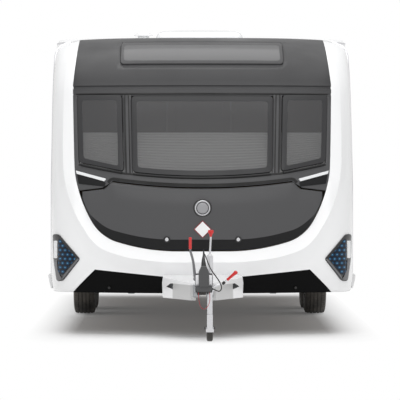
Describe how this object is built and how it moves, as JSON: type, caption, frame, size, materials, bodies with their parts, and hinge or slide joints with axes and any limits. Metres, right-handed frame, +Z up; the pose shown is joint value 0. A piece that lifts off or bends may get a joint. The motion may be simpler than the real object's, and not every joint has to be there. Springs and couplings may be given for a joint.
{
  "type": "travel caravan",
  "caption": "Twin-axle travel caravan with a dark glazed front panel, A-frame coupling, jockey wheel, steadies, entrance door and lockers.",
  "frame": {"origin": "on the ground at the centre of the overall length and width", "axes": "+X to the near side with the entrance door, +Y from the tow coupling to the rear, +Z up"},
  "size_m": [2.46, 7.7, 2.557],
  "materials": {
    "floor_board": "satin",
    "white_moulding": "gloss",
    "white_wall": "gloss",
    "dark_panel": "gloss",
    "black_plastic": "matte",
    "tinted_acrylic": "gloss",
    "frosted_acrylic": "satin",
    "lamp_lens": "gloss",
    "red_lens": "gloss",
    "galvanised_steel": "satin",
    "zinc_steel": "satin",
    "black_steel": "satin",
    "grey_casting": "satin",
    "black_rubber": "matte",
    "tyre_rubber": "matte",
    "wheel_alloy": "satin",
    "red_plastic": "gloss",
    "plywood": "satin",
    "furniture_wood": "satin",
    "upholstery": "woven",
    "cable_sheath": "satin",
    "red_cable": "satin"
  },
  "bodies": {
    "root": {"floor": "floor_board", "front_shell": "white_moulding", "front_window_panel": "dark_panel", "lower_front_panel": "black_plastic", "side_wall_near": "white_wall", "side_wall_far": "white_wall", "roof_panel": "white_wall", "rear_panel": "white_moulding", "front_windows": "tinted_acrylic", "skylight_glass": "tinted_acrylic", "side_windows": "tinted_acrylic", "rear_window": "tinted_acrylic", "rooflight": "frosted_acrylic", "skirts": "white_moulding", "rear_bumper": "black_plastic", "front_lamps": "lamp_lens", "rear_lamps": "red_lens", "chassis_members": "galvanised_steel", "a_frame_members": "galvanised_steel", "cross_members": "galvanised_steel", "axle_front": "black_steel", "axle_rear": "black_steel", "coupling_head": "grey_casting", "overrun_housing": "black_steel", "drawbar_bellows": "black_rubber", "a_frame_cover": "white_moulding", "handbrake_lever": "zinc_steel", "hand_grips": "red_plastic", "jockey_outer_tube": "zinc_steel", "jockey_crank": "zinc_steel", "steady_brackets": "galvanised_steel", "locker_bulkhead": "plywood", "wheel_boxes": "black_plastic", "sofas": "upholstery", "kitchen_unit": "furniture_wood", "washroom_partition": "furniture_wood", "towing_cable": "cable_sheath", "breakaway_cable": "red_cable"},
    "gas_lid": {"gas_locker_lid": "dark_panel"},
    "door": {"entrance_door": "white_moulding", "door_window": "tinted_acrylic"},
    "locker_flap": {"locker_door": "white_moulding"},
    "service_flap": {"service_door": "white_moulding"},
    "jockey_leg": {"jockey_stem": "zinc_steel"},
    "jockey_caster": {"jockey_fork": "zinc_steel"},
    "jockey_roller": {"jockey_wheel": "black_rubber"},
    "wheel_front_near": {"tyre_front_near": "tyre_rubber", "rim_front_near": "wheel_alloy"},
    "leg_front_near": {"steady_front_near": "galvanised_steel"},
    "wheel_front_far": {"tyre_front_far": "tyre_rubber", "rim_front_far": "wheel_alloy"},
    "leg_front_far": {"steady_front_far": "galvanised_steel"},
    "wheel_rear_near": {"tyre_rear_near": "tyre_rubber", "rim_rear_near": "wheel_alloy"},
    "leg_rear_near": {"steady_rear_near": "galvanised_steel"},
    "wheel_rear_far": {"tyre_rear_far": "tyre_rubber", "rim_rear_far": "wheel_alloy"},
    "leg_rear_far": {"steady_rear_far": "galvanised_steel"}
  },
  "joints": [
    {"name": "wheel_front_near_spin", "type": "hinge", "parent": "root", "child": "wheel_front_near", "pos_m": [1.025, 0.78, 0.308], "axis": [1, 0, 0], "continuous": true},
    {"name": "wheel_front_far_spin", "type": "hinge", "parent": "root", "child": "wheel_front_far", "pos_m": [-1.025, 0.78, 0.308], "axis": [1, 0, 0], "continuous": true},
    {"name": "wheel_rear_near_spin", "type": "hinge", "parent": "root", "child": "wheel_rear_near", "pos_m": [1.025, 1.6, 0.308], "axis": [1, 0, 0], "continuous": true},
    {"name": "wheel_rear_far_spin", "type": "hinge", "parent": "root", "child": "wheel_rear_far", "pos_m": [-1.025, 1.6, 0.308], "axis": [1, 0, 0], "continuous": true},
    {"name": "steady_front_near_swing", "type": "hinge", "parent": "root", "child": "leg_front_near", "pos_m": [0.64, -2.05, 0.388], "axis": [0, 1, 0], "range_deg": [0, 60]},
    {"name": "steady_front_far_swing", "type": "hinge", "parent": "root", "child": "leg_front_far", "pos_m": [-0.64, -2.05, 0.388], "axis": [0, -1, 0], "range_deg": [0, 60]},
    {"name": "steady_rear_near_swing", "type": "hinge", "parent": "root", "child": "leg_rear_near", "pos_m": [0.64, 3.3, 0.388], "axis": [0, 1, 0], "range_deg": [0, 60]},
    {"name": "steady_rear_far_swing", "type": "hinge", "parent": "root", "child": "leg_rear_far", "pos_m": [-0.64, 3.3, 0.388], "axis": [0, -1, 0], "range_deg": [0, 60]},
    {"name": "jockey_lift", "type": "slide", "parent": "root", "child": "jockey_leg", "axis": [0, 0, 1], "range_m": [0, 0.1]},
    {"name": "jockey_castor", "type": "hinge", "parent": "jockey_leg", "child": "jockey_caster", "pos_m": [0.05, -3.18, 0.205], "axis": [0, 0, 1], "continuous": true},
    {"name": "jockey_spin", "type": "hinge", "parent": "jockey_caster", "child": "jockey_roller", "pos_m": [0.05, -3.095, 0.1], "axis": [1, 0, 0], "continuous": true},
    {"name": "gas_lid_swing", "type": "hinge", "parent": "root", "child": "gas_lid", "pos_m": [0, -2.482, 1.16], "axis": [-1, 0, 0], "range_deg": [0, 75]},
    {"name": "entrance_door_swing", "type": "hinge", "parent": "root", "child": "door", "pos_m": [1.21, -0.646, 1.3], "axis": [0, 0, -1], "range_deg": [0, 170]},
    {"name": "locker_door_swing", "type": "hinge", "parent": "root", "child": "locker_flap", "pos_m": [1.21, -1.56, 0.846], "axis": [0, -1, 0], "range_deg": [0, 100]},
    {"name": "service_door_swing", "type": "hinge", "parent": "root", "child": "service_flap", "pos_m": [-1.21, 2.604, 0.75], "axis": [0, 0, 1], "range_deg": [0, 120]}
  ]
}
